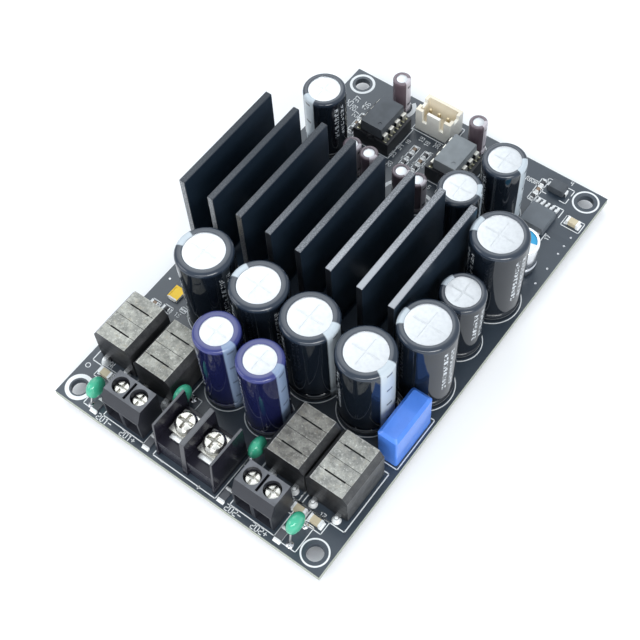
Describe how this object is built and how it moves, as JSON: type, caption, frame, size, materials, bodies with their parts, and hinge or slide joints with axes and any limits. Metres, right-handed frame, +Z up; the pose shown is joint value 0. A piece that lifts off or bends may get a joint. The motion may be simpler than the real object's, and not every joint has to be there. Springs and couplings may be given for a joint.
{
  "type": "audio amplifier board",
  "caption": "Stereo audio power amplifier board with a finned heatsink over the chip, upright capacitors, output inductors, screw terminals for speakers and supply, and an input header",
  "frame": {"origin": "under the middle of the board, at the level of the trimmed lead ends", "axes": "+X along the terminal edge, +Y from the terminals to the input header, +Z up from the board"},
  "size_m": [0.072, 0.1134, 0.03],
  "materials": {
    "board_laminate": "satin",
    "black_anodised": "satin",
    "black_resin": "matte",
    "thermal_pad": "matte",
    "plated_steel": "satin",
    "black_sleeve": "gloss",
    "blue_sleeve": "gloss",
    "brown_sleeve": "gloss",
    "bare_can": "satin",
    "blue_box": "satin",
    "green_resin": "gloss",
    "ferrite": "matte",
    "terminal_plastic": "satin",
    "header_plastic": "satin",
    "pin_metal": "gloss",
    "light_body": "satin",
    "ceramic": "satin"
  },
  "bodies": {
    "board": {"circuit_board": "board_laminate", "heatsink": "black_anodised", "amplifier_chip": "black_resin", "thermal_pad": "thermal_pad", "heatsink_screws": "plated_steel", "reservoir_capacitor_1": "black_sleeve", "reservoir_capacitor_2": "black_sleeve", "reservoir_capacitor_3": "black_sleeve", "reservoir_capacitor_4": "black_sleeve", "blue_capacitor_1": "blue_sleeve", "blue_capacitor_2": "blue_sleeve", "tall_capacitor_1": "black_sleeve", "tall_capacitor_2": "black_sleeve", "small_capacitor_1": "black_sleeve", "small_capacitor_2": "black_sleeve", "small_capacitor_3": "black_sleeve", "small_capacitor_4": "black_sleeve", "coupling_capacitor_1": "brown_sleeve", "coupling_capacitor_2": "brown_sleeve", "coupling_capacitor_3": "brown_sleeve", "coupling_capacitor_4": "brown_sleeve", "coupling_capacitor_5": "brown_sleeve", "coupling_capacitor_6": "brown_sleeve", "polymer_capacitor": "bare_can", "film_capacitor": "blue_box", "snubber_capacitors": "green_resin", "output_inductor_1": "ferrite", "output_inductor_2": "ferrite", "output_inductor_3": "ferrite", "output_inductor_4": "ferrite", "left_terminal_housing": "terminal_plastic", "left_terminal_contacts": "plated_steel", "right_terminal_housing": "terminal_plastic", "right_terminal_contacts": "plated_steel", "supply_strip_housing": "terminal_plastic", "supply_strip_contacts": "plated_steel", "op_amp_1": "black_resin", "op_amp_2": "black_resin", "op_amp_socket_1": "terminal_plastic", "op_amp_socket_2": "terminal_plastic", "input_header": "header_plastic", "input_pins": "pin_metal", "regulator": "black_resin", "rectifier_diode": "black_resin", "power_light": "light_body", "ceramic_capacitors": "ceramic", "chip_resistors": "black_resin"},
    "left_clamp_screw_1": {"left_terminal_screw_1": "plated_steel"},
    "left_clamp_cage_1": {"left_terminal_cage_1": "plated_steel"},
    "left_clamp_screw_2": {"left_terminal_screw_2": "plated_steel"},
    "left_clamp_cage_2": {"left_terminal_cage_2": "plated_steel"},
    "right_clamp_screw_1": {"right_terminal_screw_1": "plated_steel"},
    "right_clamp_cage_1": {"right_terminal_cage_1": "plated_steel"},
    "right_clamp_screw_2": {"right_terminal_screw_2": "plated_steel"},
    "right_clamp_cage_2": {"right_terminal_cage_2": "plated_steel"},
    "supply_clamp_washer_1": {"supply_washer_1": "plated_steel"},
    "supply_clamp_screw_1": {"supply_screw_1": "plated_steel"},
    "supply_clamp_washer_2": {"supply_washer_2": "plated_steel"},
    "supply_clamp_screw_2": {"supply_screw_2": "plated_steel"}
  },
  "joints": [
    {"name": "left_screw_1_turn", "type": "hinge", "parent": "board", "child": "left_clamp_screw_1", "pos_m": [-0.02014, -0.05015, 0.0108], "axis": [0, 0, -1], "range_deg": [0, 1080]},
    {"name": "left_cage_1_lift", "type": "slide", "parent": "board", "child": "left_clamp_cage_1", "axis": [0, 0, 1], "range_m": [0, 0.00135]},
    {"name": "left_screw_2_turn", "type": "hinge", "parent": "board", "child": "left_clamp_screw_2", "pos_m": [-0.01506, -0.05015, 0.0108], "axis": [0, 0, -1], "range_deg": [0, 1080]},
    {"name": "left_cage_2_lift", "type": "slide", "parent": "board", "child": "left_clamp_cage_2", "axis": [0, 0, 1], "range_m": [0, 0.00135]},
    {"name": "right_screw_1_turn", "type": "hinge", "parent": "board", "child": "right_clamp_screw_1", "pos_m": [0.01506, -0.05015, 0.0108], "axis": [0, 0, -1], "range_deg": [0, 1080]},
    {"name": "right_cage_1_lift", "type": "slide", "parent": "board", "child": "right_clamp_cage_1", "axis": [0, 0, 1], "range_m": [0, 0.00135]},
    {"name": "right_screw_2_turn", "type": "hinge", "parent": "board", "child": "right_clamp_screw_2", "pos_m": [0.02014, -0.05015, 0.0108], "axis": [0, 0, -1], "range_deg": [0, 1080]},
    {"name": "right_cage_2_lift", "type": "slide", "parent": "board", "child": "right_clamp_cage_2", "axis": [0, 0, 1], "range_m": [0, 0.00135]},
    {"name": "supply_washer_1_lift", "type": "slide", "parent": "board", "child": "supply_clamp_washer_1", "axis": [0, 0, 1], "range_m": [0, 0.002]},
    {"name": "supply_screw_1_turn", "type": "hinge", "parent": "supply_clamp_washer_1", "child": "supply_clamp_screw_1", "pos_m": [-0.00381, -0.0485, 0.0103], "axis": [0, 0, 1], "range_deg": [0, 1440]},
    {"name": "supply_washer_2_lift", "type": "slide", "parent": "board", "child": "supply_clamp_washer_2", "axis": [0, 0, 1], "range_m": [0, 0.002]},
    {"name": "supply_screw_2_turn", "type": "hinge", "parent": "supply_clamp_washer_2", "child": "supply_clamp_screw_2", "pos_m": [0.00381, -0.0485, 0.0103], "axis": [0, 0, 1], "range_deg": [0, 1440]}
  ],
  "couplings": [
    {"joint": "left_screw_1_turn", "follows": "left_cage_1_lift", "rad_per_m": 13963},
    {"joint": "left_screw_2_turn", "follows": "left_cage_2_lift", "rad_per_m": 13963},
    {"joint": "right_screw_1_turn", "follows": "right_cage_1_lift", "rad_per_m": 13963},
    {"joint": "right_screw_2_turn", "follows": "right_cage_2_lift", "rad_per_m": 13963},
    {"joint": "supply_screw_1_turn", "follows": "supply_washer_1_lift", "rad_per_m": 12566},
    {"joint": "supply_screw_2_turn", "follows": "supply_washer_2_lift", "rad_per_m": 12566}
  ]
}
